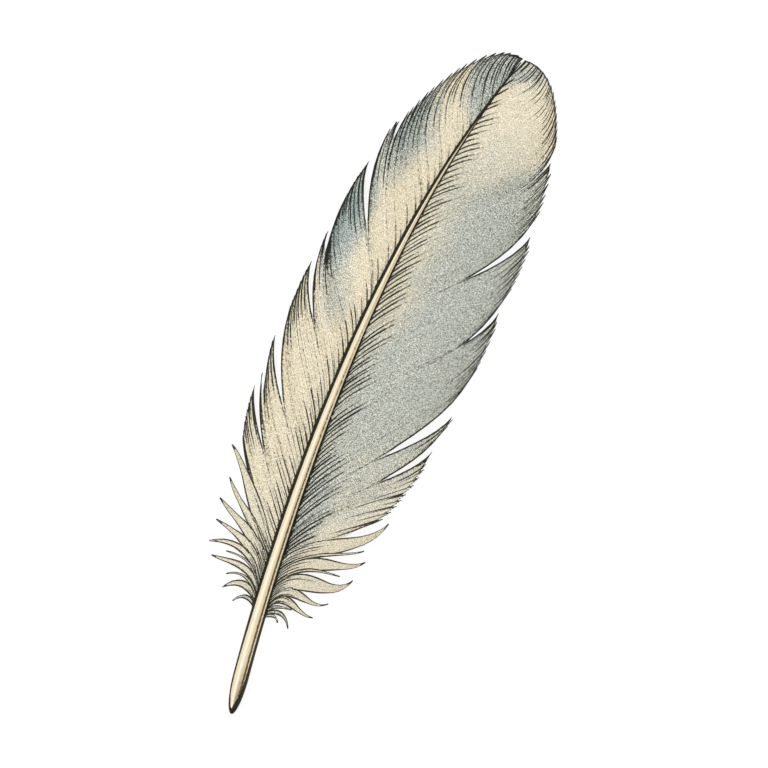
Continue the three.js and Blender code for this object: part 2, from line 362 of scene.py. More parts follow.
class DownSettings(bpy.types.PropertyGroup):
    """Sizes and colours of the free locks."""

    pitch: bpy.props.FloatProperty(
        name="Pitch", description="Way between two strands", default=0.0003, unit="LENGTH", precision=5
    )
    fullness: bpy.props.FloatProperty(
        name="Fullness",
        description="Most by which a lock's edges swell outwards",
        default=0.0005,
        unit="LENGTH",
        precision=5,
    )
    curl: bpy.props.FloatProperty(
        name="Curl", description="Rise of a lock's tip", default=0.0006, unit="LENGTH", precision=5
    )
    cream: bpy.props.FloatVectorProperty(
        name="Cream", description="Ground colour", default=linear(243, 233, 208), subtype="COLOR"
    )
    mist: bpy.props.FloatVectorProperty(
        name="Mist",
        description="Colour of the thin shade",
        default=linear(226, 224, 206),
        subtype="COLOR",
    )
    slate: bpy.props.FloatVectorProperty(
        name="Slate",
        description="Colour of the full shade",
        default=linear(160, 170, 160),
        subtype="COLOR",
    )
    dark: bpy.props.FloatVectorProperty(
        name="Dark", description="Colour of the dark strands", default=linear(44, 42, 28), subtype="COLOR"
    )


class StageSettings(bpy.types.PropertyGroup):
    """Floor, light and camera."""

    floor_size: bpy.props.FloatProperty(
        name="Floor size", description="Side of the floor", default=6.0, unit="LENGTH"
    )
    floor: bpy.props.FloatVectorProperty(
        name="Floor", description="Floor colour", default=(0.21, 0.21, 0.21), subtype="COLOR"
    )
    glow: bpy.props.FloatProperty(name="Glow", description="Light of the floor itself", default=0.82)
    sky: bpy.props.FloatProperty(name="Sky", description="Strength of the even light", default=0.88)
    key: bpy.props.FloatProperty(
        name="Key", description="Strength of the soft box", default=1.9, unit="POWER"
    )
    lens: bpy.props.FloatProperty(name="Lens", description="Focal length", default=150, unit="CAMERA")
    field: bpy.props.FloatProperty(
        name="Field", description="Side of the square in view", default=0.192, unit="LENGTH"
    )
    turn: bpy.props.FloatProperty(
        name="Turn",
        description="Lean of the feather in the picture",
        default=math.radians(23.97),
        unit="ROTATION",
    )


def smooth(value, low=0.0, high=1.0):
    """A soft step from 0 at low to 1 at high."""
    share = np.clip((value - low) / (high - low), 0, 1)
    return share * share * (3 - 2 * share)


def bow_at(along):
    """Sideways place of the quill's axis."""
    share = along / LENGTH
    side = 2 * share - 1
    return -BOW * 4 * share * (1 - share) * (1 + BOW_SKEW * side + BOW_FLATNESS * side * side)


def taper_share(along):
    """Share of the way from the end of the bare foot to the tip."""
    return np.clip((along - BARE_LENGTH) / (LENGTH - BARE_LENGTH), 0, 1)


def quill_radius(along):
    """Radius of the quill: an ellipse at the foot, straight where it is bare, then a slow taper."""
    foot = np.clip(1 - np.asarray(along) / FOOT_ROUNDING, 0, 1)
    radius = QUILL_RADIUS + (TIP_RADIUS - QUILL_RADIUS) * taper_share(along) ** TAPER_POWER
    return radius * np.sqrt(1 - foot * foot)


def axis_height(along):
    """Height of the quill's axis: the bare foot lies along the surface, and the rest arches."""
    foot = QUILL_RADIUS * math.cos(math.pi / QUILL_FLATS)
    share = taper_share(along)
    return foot + (TIP_HEIGHT - foot) * smooth(share) + ARCH * np.sin(np.pi * share) ** ARCH_POWER


def vane_height(side, across, along):
    """Middle height of a vane: highest at the quill, down to the surface at its full span."""
    base = smooth(along, BARE_LENGTH, FULL_SPAN_ALONG)
    span = SPANS[side] * (BASE_SPAN_SHARE + (1 - BASE_SPAN_SHARE) * base)
    top = axis_height(along) + VANE_LIFT * quill_radius(along)
    return RIM_HEIGHT + (top - RIM_HEIGHT) * (1 - np.minimum(1, np.abs(across) / span) ** 2)


def frame_shift():
    """Where the quill's foot lies in the frame, from the lowest corner of its solid along the feather."""
    corners = np.array([v.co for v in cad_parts["shaft"].data.vertices])
    return corners[corners[:, 1].argmin()] - np.array([0, 0, float(axis_height(0.0)) * MM])


SHIFT = frame_shift()


def placed(across, along, height):
    """Points of the straight feather, in millimetres, moved to the bowed one, in metres in the frame."""
    slope = (bow_at(along + SLOPE_STEP) - bow_at(along - SLOPE_STEP)) / (2 * SLOPE_STEP)
    stretch = np.hypot(1, slope)
    points = [bow_at(along) + across / stretch, along - across * slope / stretch, np.maximum(height, 0)]
    return np.stack(points, -1) * MM + SHIFT


def bezier(corners, shares):
    """Points on cubic curves with these corners, (curves, 4, 2), at these shares of their way."""
    s = shares[:, None]
    weights = np.concatenate([(1 - s) ** 3, 3 * s * (1 - s) ** 2, 3 * s * s * (1 - s), s**3], 1)
    return np.einsum("sw,cwp->csp", weights, corners)


def unit(vectors):
    """These vectors at a length of 1."""
    return vectors / np.maximum(np.linalg.norm(vectors, axis=-1, keepdims=True), LEAST_LENGTH)


def left_of(vectors):
    """These plan vectors turned a quarter turn, which is tipwards for a strand that runs outwards."""
    return np.stack([-vectors[..., 1], vectors[..., 0]], -1)


def tipwards(lines):
    """The way square to each strand, towards the feather's tip, at each of its points."""
    return left_of(unit(np.gradient(lines, axis=1)))


def runs(lines):
    """How far each point of each line is along it."""
    steps = np.linalg.norm(np.diff(lines, axis=1), axis=2)
    return np.concatenate([np.zeros((len(lines), 1)), np.cumsum(steps, axis=1)], axis=1)


def gaps_between(lines):
    """How far each strand is from the next one, square to the strand."""
    return np.abs((np.diff(lines, axis=0) * tipwards(lines)[:-1]).sum(-1))


def wing_widths(lines, overlap):
    """Widths of each strand's two wings along its line, so that they just lie over their neighbours."""
    gaps = gaps_between(lines)
    below = np.concatenate([gaps[:1], gaps])
    above = np.concatenate([gaps, gaps[-1:]])
    wings = np.clip((1 + overlap) / 2 * np.stack([below, above], -1), WING_LEAST, WING_MOST)
    wings[:, -2] *= WING_NARROWING
    wings[:, -1] = WING_TIP
    return wings


def wash_at(side, across, along):
    """Share of slate over cream at a place on a vane."""
    clear = np.ones_like(across)
    for middle, height, half_across, half_along, strength in WASHES[side]:
        slant = along - height - WASH_SLANT * (across - middle)
        far = ((across - middle) / half_across) ** 2 + (slant / half_along) ** 2
        clear *= 1 - strength * np.exp(-far * far)
    return 1 - clear


def add_marks(mesh, marks):
    """Store each mark's values, one a point, for the finishes to read."""
    for mark, value in marks.items():
        layer = mesh.attributes.new(mark, "FLOAT", "POINT")
        layer.data.foreach_set("value", value.astype(np.float32).ravel())


def add_bake_map(mesh, points, corners, underside):
    """Lay the faces out as seen from above, with those of the underside in the right half of the map."""
    low = points.min(0)
    layout = ((points[corners] - low) / (points.max(0) - low))[:, :2]
    layout[:, 0] /= 2
    layout[underside, 0] += 1 / 2
    mesh.uv_layers.new(name="OFBake").uv.foreach_set("vector", layout.astype(np.float32).ravel())


def shown(name, data):
    """A new object with this data, in the scene."""
    made = bpy.data.objects.new(name, data)
    bpy.context.scene.collection.objects.link(made)
    return made


def strand_piece(name, side, lines, wings, lift, ridge, marks):
    """One piece of ridged strands along plan lines, (strands, steps, 2), with marks of the same steps."""
    aside = tipwards(lines)
    plan = np.stack([lines - aside * wings[..., :1], lines, lines + aside * wings[..., 1:]], 2)
    across = side * plan[..., 0]
    along = plan[..., 1]
    height = vane_height(side, across, along) + lift[..., None]
    height[..., 1] += ridge
    points = placed(across, along, height).reshape(-1, 3)
    # A strand has two flanks that meet at its ridge, an underside between its wings, and a cap at each end
    corner = np.arange(across.size).reshape(across.shape)
    flanks = []
    for first, second in ((0, 1), (1, 2), (2, 0)):
        near = corner[:, :-1, [first, second]]
        far = corner[:, 1:, [first, second]]
        flanks.append(np.stack([near[..., 0], far[..., 0], far[..., 1], near[..., 1]], -1).reshape(-1, 4))
    quads = np.concatenate(flanks)
    caps = np.concatenate([corner[:, 0], corner[:, -1, ::-1]])
    if side == LEFT:
        quads = quads[:, ::-1]
        caps = caps[:, ::-1]
    mesh = bpy.data.meshes.new(name)
    mesh.from_pydata(points.tolist(), [], quads.tolist() + caps.tolist())
    underside = slice(quads.size - flanks[-1].size, quads.size)
    add_bake_map(mesh, points, np.concatenate([quads.ravel(), caps.ravel()]), underside)
    marks = {mark: np.repeat(value[..., None], plan.shape[2], axis=2) for mark, value in marks.items()}
    marks["flank"] = np.insert(wings, 1, 0, axis=2) / LINE_HALF
    add_marks(mesh, marks)
    return shown(name, mesh)


# Noises of the finishes: the sizes of their features in millimetres
BREAK_SIZE = 0.6
GRAIN_SIZE = 0.25
CLOUD_SIZE = 6.0
SPECKLE_SIZE = 0.21
FIBRE_SIZE = 0.25
FIBRE_STRETCH = (1, 0.06, 1)
NOISE_MIDDLE = 0.5


class Bench:
    """A material whose nodes are added and joined in one call each."""

    def __init__(self, name):
        self.material = bpy.data.materials.new(name)
        self.material.use_nodes = True
        self.tree = self.material.node_tree
        self.shader = self.tree.nodes["Principled BSDF"]
        self.place = self.node("TexCoord").outputs["Object"]

    def node(self, kind, inputs=None, **settings):
        """A new node of this kind, with its settings and what its sockets get."""
        made = self.tree.nodes.new("ShaderNode" + kind)
        for name, value in settings.items():
            setattr(made, name, value)
        for socket, value in (inputs or {}).items():
            self.give(made.inputs[socket], value)
        return made

    def give(self, socket, value):
        """Join another node's output to a socket, or set the socket's own value."""
        if isinstance(value, bpy.types.NodeSocket):
            self.tree.links.new(value, socket)
        elif hasattr(value, "__len__") and socket.type == "RGBA":
            socket.default_value = (*value, 1)
        else:
            socket.default_value = value

    def attribute(self, name):
        """A mark of the mesh."""
        return self.node("Attribute", attribute_name=name).outputs["Fac"]

    def math(self, operation, first, second):
        """Two values worked into one."""
        return self.node("Math", {0: first, 1: second}, operation=operation).outputs[0]

    def step(self, value, low, high, start=0.0, end=1.0):
        """A soft step from start at low to end at high."""
        inputs = {"Value": value, "From Min": low, "From Max": high, "To Min": start, "To Max": end}
        return self.node("MapRange", inputs, interpolation_type="SMOOTHSTEP").outputs["Result"]

    def noise(self, size, detail=2.0, stretch=(1, 1, 1)):
        """Noise with features of this size in millimetres, from about 0 to 1."""
        place = self.node("Mapping", {"Vector": self.place, "Scale": stretch}).outputs["Vector"]
        inputs = {"Vector": place, "Scale": 1 / (size * MM), "Detail": detail}
        return self.node("TexNoise", inputs).outputs["Fac"]

    def breaks(self):
        """Noise on both sides of 0, which breaks a fading line into dots."""
        return self.math("SUBTRACT", self.noise(BREAK_SIZE, detail=1.0), NOISE_MIDDLE)

    def mix(self, share, first, second):
        """The first colour with this share of the second over it."""
        return self.node("Mix", {0: share, 6: first, 7: second}, data_type="RGBA").outputs[2]


# Soft steps of the barbs' finish: where each begins and ends, and what it goes from and to
INK_BREAKS = 0.9
INK_LOSS = 0.6
INK_STEP = (0.1, 0.36, 0.0, 0.97)
CLOUD_STEP = (0.3, 0.7, -0.05, 0.05)
GRAIN_STEP = (0.3, 0.7, -0.1, 0.1)
MIST_STEP = (0.0, 0.5)
SLATE_STEP = (0.5, 1.0)
SPECKLE_STEP = (0.42, 0.58)
SPECKLE_STRENGTH = (0.0, 0.6, 0.4, 0.75)
GRAIN_RANGE = (0.2, 0.8)
GRAIN_ROUGHNESS = 0.08
BARB_SHINE = 0.25

# Soft steps of the horn's finish
TAN_EDGE_STEP = (-0.7, -0.9)
HIGHLIGHT_STEP = (0.24, 0.06)
TAN_STEPS = ((0.0, 0.3), (0.62, 0.5))
FIBRE_STEP = (0.3, 0.75, 0.0, 0.3)
FOOT_SHADE_STEP = (-0.25, 0.1, 0.0, 0.6)
GROOVE_BREAKS = 0.8
GROOVE_SHADE_STEP = (0.15, 0.55, 0.0, 0.95)
FLANK_SHADE_BREAKS = 0.06
FLANK_SHADE_STEP = (-0.03, 0.05)
HORN_ROUGHNESS = (0.2, 0.8, 0.42, 0.6)
HORN_SHINE = 0.15

FLOOR_ROUGHNESS = 0.9
FLOOR_SHINE = 0.1


def barb_finish(name, look, roughness):
    """Matte barbs: slate over cream, fine grain, dark strokes that break into dots as they fade, and
    painted shade beside the quill.
    """
    bench = Bench(name)
    # The root strokes carry the painted shade beside the quill as well
    level = bench.math("MAXIMUM", bench.attribute("root_ink_and_shade"), bench.attribute("tip_ink"))
    level = bench.math("MAXIMUM", level, bench.attribute("edge_ink"))
    level = bench.math("ADD", level, bench.math("MULTIPLY", bench.breaks(), INK_BREAKS))
    level = bench.math("SUBTRACT", level, bench.math("MULTIPLY", bench.attribute("flank"), INK_LOSS))
    ink = bench.step(level, *INK_STEP)
    grain = bench.noise(GRAIN_SIZE)
    cloud = bench.noise(CLOUD_SIZE, detail=3.0)
    wash_and_shade = bench.math("ADD", bench.attribute("wash_and_shade"), bench.step(cloud, *CLOUD_STEP))
    wash_and_shade = bench.math("ADD", wash_and_shade, bench.step(grain, *GRAIN_STEP))
    ground = bench.mix(bench.step(wash_and_shade, *MIST_STEP), look.cream, look.mist)
    ground = bench.mix(bench.step(wash_and_shade, *SLATE_STEP), ground, look.slate)
    speckle = bench.step(bench.noise(SPECKLE_SIZE, detail=0.0), *SPECKLE_STEP)
    speckle = bench.math("MULTIPLY", speckle, bench.step(bench.attribute("wash_and_shade"), *SPECKLE_STRENGTH))
    ground = bench.mix(speckle, ground, look.dark)
    rough = bench.step(grain, *GRAIN_RANGE, roughness - GRAIN_ROUGHNESS, roughness + GRAIN_ROUGHNESS)
    bench.give(bench.shader.inputs["Base Color"], bench.mix(ink, ground, look.dark))
    bench.give(bench.shader.inputs["Roughness"], rough)
    bench.give(bench.shader.inputs["Specular IOR Level"], BARB_SHINE)
    return bench.material


def horn_finish(look):
    """Horn: a pale strip of painted highlight, a tan side and a groove with painted brown shade along it,
    painted shade on the flanks and the foot, and fine fibres.
    """
    bench = Bench("horn")
    across = bench.attribute("across")
    fibre = bench.noise(FIBRE_SIZE, detail=3.0, stretch=FIBRE_STRETCH)
    breaks = bench.breaks()
    body = bench.mix(bench.step(across, *TAN_EDGE_STEP), look.cream, look.tan)
    # Painted highlight: a pale strip along the quill
    pale = bench.step(bench.math("ABSOLUTE", bench.attribute("pale"), 0), *HIGHLIGHT_STEP)
    body = bench.mix(pale, body, look.pale)
    tan_start, tan_end = TAN_STEPS
    tan = bench.math("MULTIPLY", bench.step(across, *tan_start), bench.step(across, *tan_end))
    body = bench.mix(tan, body, look.tan)
    body = bench.mix(bench.step(fibre, *FIBRE_STEP), body, look.tan)
    # Painted shade on the right half of the foot
    foot_shade = bench.math("MULTIPLY", bench.attribute("foot"), bench.step(across, *FOOT_SHADE_STEP))
    foot_shade = bench.math("ADD", foot_shade, bench.math("MULTIPLY", foot_shade, breaks))
    body = bench.mix(foot_shade, body, look.brown)
    # Painted shade in the groove, brown and broken into dots
    groove = bench.math("ADD", bench.attribute("groove"), bench.math("MULTIPLY", breaks, GROOVE_BREAKS))
    body = bench.mix(bench.step(groove, *GROOVE_SHADE_STEP), body, look.brown)
    # Painted shade on both flanks of the quill
    flank = bench.math("MAXIMUM", bench.attribute("left_flank_shade"), bench.attribute("right_flank_shade"))
    flank = bench.math("ADD", flank, bench.math("MULTIPLY", breaks, FLANK_SHADE_BREAKS))
    body = bench.mix(bench.step(flank, *FLANK_SHADE_STEP), body, look.dark)
    bench.give(bench.shader.inputs["Base Color"], body)
    bench.give(bench.shader.inputs["Roughness"], bench.step(fibre, *HORN_ROUGHNESS))
    bench.give(bench.shader.inputs["Specular IOR Level"], HORN_SHINE)
    return bench.material


def floor_finish(look):
    """A plain pale floor that gives off a little light."""
    bench = Bench("floor")
    bench.give(bench.shader.inputs["Base Color"], look.floor)
    bench.give(bench.shader.inputs["Emission Color"], (1, 1, 1))
    bench.give(bench.shader.inputs["Emission Strength"], look.glow)
    bench.give(bench.shader.inputs["Roughness"], FLOOR_ROUGHNESS)
    bench.give(bench.shader.inputs["Specular IOR Level"], FLOOR_SHINE)
    return bench.material


# Painted shade on the quill's dark flanks: where it begins across the quill, as a share of its radius, at
# places along it
LEFT_FLANK_SHADE = (
    (0, 0.8, 2, 5, 15, 24, 45, 70, 100, 123, 150, 160, 168),
    (1, 0.1, -0.55, -0.76, -0.75, -0.66, -0.56, -0.52, -0.42, -0.18, 0.1, 0.4, 1),
)
RIGHT_FLANK_SHADE = (
    (0, 0.8, 2, 4, 6, 9, 14, 24, 45, 80, 123, 150, 168),
    (-1, -0.5, -0.1, 0.3, 0.52, 0.61, 0.65, 0.67, 0.715, 0.74, 0.7, 0.58, 0.4),
)
# Height above the quill's widest line, as a share of its radius, below which the painted shade on the
# flanks fades, and how fast
FLANK_END = 0.27
FLANK_FADE = 2.5
# Middle of the pale strip across the quill, a painted highlight, at places along it
HIGHLIGHT_MIDDLE = ((0, 20, 35, 50, 70, 95), (-0.3, -0.26, -0.2, -0.1, -0.08, 0.08))
# Groove: its place and half width across the quill, and its share of the full depth at places along it.
# Its brown line is painted shade in the groove.
GROOVE_ACROSS = 0.44
GROOVE_WIDTH = 0.1
GROOVE_DEPTHS = ((0, 3, 7, 50, 80, 110), (0, 0.4, 1, 0.85, 0.6, 0.3))
# Strength of the painted shade at the foot, a dark hatching over its right half, at places along the quill
FOOT_SHADE = ((0, 4, 14), (1, 1, 0))
MERGE_DISTANCE = 1e-5
LEAST_RADIUS = 1e-6


def quill_places(rings):
    """Places along the quill, close together round its foot."""
    foot_rings = rings // 4
    foot = FOOT_ROUNDING * (1 - np.cos(np.linspace(0, np.pi / 2, foot_rings)))
    return np.concatenate([foot, np.linspace(FOOT_ROUNDING, LENGTH, rings - foot_rings + 1)[1:]])


def spun_quill(rings, sides):
    """Mesh of a straight quill with its axis along Y, in millimetres."""
    shape = bmesh.new()
    profile = [shape.verts.new((float(quill_radius(along)), along, 0)) for along in quill_places(rings)]
    profile.append(shape.verts.new((0, LENGTH, 0)))
    edges = [shape.edges.new(pair) for pair in zip(profile, profile[1:])]
    turn = {"cent": (0, 0, 0), "axis": (0, 1, 0), "angle": math.tau, "steps": sides}
    bmesh.ops.spin(shape, geom=profile + edges, use_merge=True, **turn)
    bmesh.ops.remove_doubles(shape, verts=shape.verts, dist=MERGE_DISTANCE)
    bmesh.ops.recalc_face_normals(shape, faces=shape.faces)
    mesh = bpy.data.meshes.new("quill")
    shape.to_mesh(mesh)
    shape.free()
    mesh.shade_smooth()
    return mesh


class FEATHER_OT_quill(bpy.types.Operator):
    """Make the quill from its rounded foot to its thin tip"""

    bl_idname = "feather.quill"
    bl_label = "Quill"

    def execute(self, context):
        look = context.scene.feather_quill
        mesh = spun_quill(look.rings, look.sides)
        spots = np.array([v.co for v in mesh.vertices], float)
        along = spots[:, 1]
        radius = np.maximum(quill_radius(along), LEAST_RADIUS)
        across = np.clip(spots[:, 0] / radius, -1, 1)
        below = FLANK_FADE * np.clip(FLANK_END - spots[:, 2] / radius, 0, 1)
        groove = np.exp(-(((across - GROOVE_ACROSS) / GROOVE_WIDTH) ** 2))
        groove *= np.interp(along, *GROOVE_DEPTHS) * (spots[:, 2] > 0)
        spots[:, [0, 2]] *= 1 - look.groove * groove[:, None]
        points = placed(spots[:, 0], along, axis_height(along) + spots[:, 2])
        mesh.vertices.foreach_set("co", points.astype(np.float32).ravel())
        marks = {
            "across": across,
            "groove": groove,
            # Place across the painted highlight strip
            "pale": across - np.interp(along, *HIGHLIGHT_MIDDLE),
            "foot": np.interp(along, *FOOT_SHADE),
            # Where the painted shade on each flank begins
            "left_flank_shade": np.interp(along, *LEFT_FLANK_SHADE) - across - below,
            "right_flank_shade": across - np.interp(along, *RIGHT_FLANK_SHADE) - below,
        }
        add_marks(mesh, marks)
        mesh.materials.append(horn_finish(look))
        quill = shown("quill", mesh)
        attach(quill, BODY)
        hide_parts("shaft")
        return {"FINISHED"}


# Shares of a barb's way at which it has points, closer together at its tip
BARB_STEPS = 18
WAY_POWER = 1.1
LAST_WAYS = (0.96, 0.985, 1)
BARB_WAYS = np.append(np.linspace(0, 1, BARB_STEPS - 2)[:-1] ** WAY_POWER, LAST_WAYS)
# How far barbs are drawn footwards at the quill, at places along it, and how far out that reaches
SWEEPS = {
    LEFT: ((30, 60, 80, 105, 150, 178), (0, 0.6, 1.4, 2.2, 2.2, 0)),
    RIGHT: ((30, 60, 150, 178), (0, 3.2, 3.2, 0)),
}
SWEEP_REACH = 4.0
# Where barbs root: the share of the quill's radius, and the way kept clear at both ends of a web
ROOT_DEPTH = 0.88
ROOT_TRIM = 0.1
# Barbs are counted along a web's stretch of the quill, or this share of its rim if that is longer
RIM_SPAN_SHARE = 0.6
BARB_JITTER = 0.2
# Points that a rim is measured on, and how much a barb's outer bend follows its end to the rim
RIM_SAMPLES = 160
RIM_PULL = 0.6
# A web whose upper edge leaves the quill above this place ends at the tip, and its barbs fan out
TOP_ROOT = 170
TOP_AIMS = {LEFT: ((0, 0.5, 1), (0.08, 0, -0.2)), RIGHT: ((0, 0.6, 1), (-0.35, -0.35, 0))}
FAN_HANDLE = 0.36
FAN_SWELL = 0.16
FAN_START = 0.15
# Makes a barb's bow 1 at its most, two thirds of the way out
BOW_SCALE = 27 / 4
# Tufts at the rim: widths, how far the last barbs reach along and out, and how late they bend
TUFT_RANGE = (1.9, 3.3)
TUFT_REACH = 1.5
TUFT_STAND = 0.5
LEAST_STAND = 0.3
LEVEL_POWER = 3
THROUGH_POWER = 1.5
TIP_BEND_POWER = 10
TEETH_END = (0.75, 0.95)
TUFT_LIFT = 0.15
LIFT_POWER = 4
# Points of a barb at which the ways between root strokes, rim strokes and tufts are measured
ROOT_STEP = 2
RIM_STEP = 11
TUFT_STEP = 14
# Ranges of a stroke's place in its gap and of its reach, of a tuft's last stroke and of the painted shade
# at the root
STROKE_PLACES = (0.3, 0.7)
STROKE_REACHES = (0.6, 1.25)
TUFT_STROKES = (0.3, 1.1)
PAINTED_SHADE_RANGE = (0.6, 1.4)
LEAST_REACH = 0.01
LEAST_RIM_SHARE = 0.04
# Outline of the rim: its depth, and the least slant of a barb to it
OUTLINE = 0.46
OUTLINE_STEPS = 3
LEAST_SLANT = 0.12
# Line along a cleft: its depth and ink, and the fainter seam that leads up to it in the closed web
CLEFT_LINE = 0.5
CLEFT_INK = 0.55
CLEFT_START = 0.06
SEAM_INK = 0.45
SEAM_START = 0.25
SEAM_END = 0.12
# Shares of the way out at which the lowest webs part from the locks, and how webs close below a cleft
LOWEST_PARTS = {LEFT: 0.55, RIGHT: 0.82}
CLOSING_WIDTH = 0.6
CLOSING_START = 0.04
CLOSING_END = 0.06
# Uneven edges of the washes, by tuft and by barb
TUFT_WASH = 1.5
BARB_WASH = 1.2
VANE_ROUGHNESS = 0.8


def edge_corners(edge, trim=0.0):
    """Corners of a web's edge curve, from inside the quill's side to its end."""
    root, bend, reach, end = edge
    root += trim
    return np.array([[ROOT_DEPTH * float(quill_radius(root)), root], bend, reach, end], float)


def web_edges(web):
    """Corners of a web's lower and upper edge curves."""
    return edge_corners(web["lower"], ROOT_TRIM), edge_corners(web["upper"], -ROOT_TRIM)


def rim_at(web, shares):
    """Points of a web's rim, from the end of its lower edge to that of its upper one."""
    corners = np.array([[web["lower"][3], *web["rim"], web["upper"][3]]], float)
    return bezier(corners, shares)[0]


def rim_length(web):
    """Length of a web's rim."""
    return runs(rim_at(web, np.linspace(0, 1, RIM_SAMPLES))[None])[0, -1]


def ends_at_tip(web):
    """Whether a web is the topmost one of its vane."""
    return web["upper"][0] > TOP_ROOT


def swept(side, lines):
    """Lines drawn footwards close to the quill, so that they leave it at a slant and bend away."""
    along = lines[..., 1]
    drawn = np.interp(along, *SWEEPS[side]) * np.exp((quill_radius(along) - lines[..., 0]) / SWEEP_REACH)
    return np.stack([lines[..., 0], along - drawn], -1)


def barb_shares(web, pitch, rng):
    """Shares of the way from a web's lower to its upper edge at which its barbs lie."""
    lower, upper = web_edges(web)
    span = max(upper[0, 1] - lower[0, 1], RIM_SPAN_SHARE * rim_length(web))
    count = int(span / pitch) + 1
    shares = np.linspace(0, 1, count)
    shares[1:-1] += rng.uniform(-BARB_JITTER, BARB_JITTER, count - 2) / count
    return shares


def fanned(side, curves, shares):
    """Outer bends of the topmost web's barbs, which turn from its lower edge's aim to that of the tip."""
    reach = np.linalg.norm(curves[:, 3] - curves[:, 0], axis=1)
    handle = reach * (FAN_HANDLE + FAN_SWELL * np.sin(np.pi * shares))
    aim = np.interp(shares, *TOP_AIMS[side])
    turned = handle[:, None] * unit(np.stack([aim, np.ones(len(aim))], -1))
    own = curves[0, 3] - curves[0, 2]
    return curves[:, 3] - own - (turned - own) * smooth(shares, 0, FAN_START)[:, None]


def barb_curves(side, web, shares):
    """Corners of a web's barb curves, which blend from one edge to the other and end on the rim."""
    lower, upper = web_edges(web)
    curves = lower + (upper - lower) * shares[:, None, None]
    shift = rim_at(web, shares) - curves[:, 3]
    curves[:, 3] += shift
    curves[:, 2] += RIM_PULL * shift
    curves[:, 0, 0] = ROOT_DEPTH * quill_radius(curves[:, 0, 1])
    if ends_at_tip(web):
        curves[:, 2] = fanned(side, curves, shares)
    return curves


def tuft_shares(rim, scale, rng):
    """The tuft of each barb's tip and how far through it the tip is, with tufts of uneven width."""
    run = runs(rim[None])[0]
    cuts = [0.0]
    while cuts[-1] <= run[-1]:
        cuts.append(cuts[-1] + scale * rng.uniform(*TUFT_RANGE))
    index = np.searchsorted(cuts, run, side="right") - 1
    start = np.take(cuts, index)
    return index, (run - start) / (np.take(cuts, index + 1) - start)


def tuft_stand(web, curves, shares, through, out):
    """How far each barb's tip stands out of the rim, along its own aim and square to the rim."""
    teeth = np.full(len(shares), float(web["teeth"]))
    if not ends_at_tip(web):
        teeth *= 1 - smooth(shares, *TEETH_END)
    aim = unit(curves[:, 3] - curves[:, 2])
    level = np.clip((aim * left_of(out)).sum(1), 0, 1) ** LEVEL_POWER
    reach = teeth * TUFT_REACH * level * through**THROUGH_POWER
    stand = teeth * TUFT_STAND * (LEAST_STAND + (1 - LEAST_STAND) * level) * through
    return aim * reach[:, None] + out * stand[:, None]


def web_lines(side, web, pitch, rng):
    """Plan lines of a web's barbs, with their roots, their tufts and the way out at each tip."""
    shares = barb_shares(web, pitch, rng)
    curves = barb_curves(side, web, shares)
    rim = rim_at(web, shares)
    tuft, through = tuft_shares(rim, math.sqrt(web["teeth"]), rng)
    out = -left_of(unit(np.gradient(rim, axis=0)))
    lines = bezier(curves, BARB_WAYS)
    bulge = web["bow"] * rim_length(web) * np.sin(np.pi * shares) ** 2
    bow = BOW_SCALE * BARB_WAYS**2 * (1 - BARB_WAYS)
    lines -= tipwards(lines) * (bulge[:, None] * bow)[..., None]
    stand = tuft_stand(web, curves, shares, through, out)
    lines += stand[:, None] * (BARB_WAYS**TIP_BEND_POWER)[:, None]
    return swept(side, lines), curves[:, 0, 1], tuft, out


def drawn_by(index, limits, rng):
    """A random value between the limits for each index, given to every strand that has it."""
    return rng.uniform(*limits, index.max() + 1)[index]


def stroke_share(far, width):
    """Share of a stroke's reach on strands this far from its middle."""
    half, soft = width
    return np.clip(1 + (half - far) / soft, 0, 1)


def stroke_reach(lines, step, gap, width, rng):
    """How far strokes reach on each strand, from 0 to about 1, and most on the middle one of a stroke."""
    place = np.append(0, np.cumsum(gaps_between(lines)[:, step] / gap[1:]))
    number = place.astype(int)
    middle = number + drawn_by(number, STROKE_PLACES, rng)
    vary = drawn_by(number, STROKE_REACHES, rng)
    return vary * stroke_share(gap * np.abs(place - middle), width)


def stroke_ink(run, reach, weight):
    """Ink of strokes at places along them: even at first, then falling to a faint tail."""
    share = run / np.maximum(reach, LEAST_REACH)[:, None]
    body = np.minimum(weight, STROKE_GAIN * (1 - share))
    return np.maximum(body, TAIL_INK * np.clip(TAIL_REACH - share, 0, 1))


def root_reach(side, lines, root, rng):
    """How far the dark runs out from the quill on each barb, in millimetres: the strokes, and the painted
    shade beside the quill between them.
    """
    gap = np.interp(root, *ROOT_STROKE_GAPS[side])
    strokes = stroke_reach(lines, ROOT_STEP, gap, ROOT_STROKE_WIDTHS[side], rng)
    # Painted shade on every barb beside the quill, between the strokes
    shade = np.interp(root, *ROOT_PAINTED_SHADES[side]) * rng.uniform(*PAINTED_SHADE_RANGE, len(lines))
    return np.maximum(strokes * np.interp(root, *ROOT_STROKES[side]), shade)


def rim_share(side, lines, root, tuft, rng):
    """Share of a rim stroke's reach on each barb; the last barb of a tuft has a stroke too."""
    gap = np.interp(root, *RIM_STROKE_GAPS[side])
    strokes = stroke_reach(lines, RIM_STEP, gap, RIM_STROKE_WIDTH, rng)
    place = np.append(0, np.cumsum(gaps_between(lines)[:, TUFT_STEP]))
    last = place[np.flatnonzero(np.diff(tuft, append=-1))]
    ends = drawn_by(tuft, TUFT_STROKES, rng) * stroke_share(last[tuft] - place, RIM_STROKE_WIDTH)
    return np.maximum(np.maximum(strokes, ends), LEAST_RIM_SHARE)


def cleft_ink(cleft):
    """Ink along a web's outermost barb beside a cleft, from the seam that leads up to it."""
    line = smooth(BARB_WAYS, cleft, cleft + CLEFT_START)
    seam = smooth(BARB_WAYS, cleft - SEAM_START, cleft - SEAM_END)
    return CLEFT_INK * line + SEAM_INK * seam


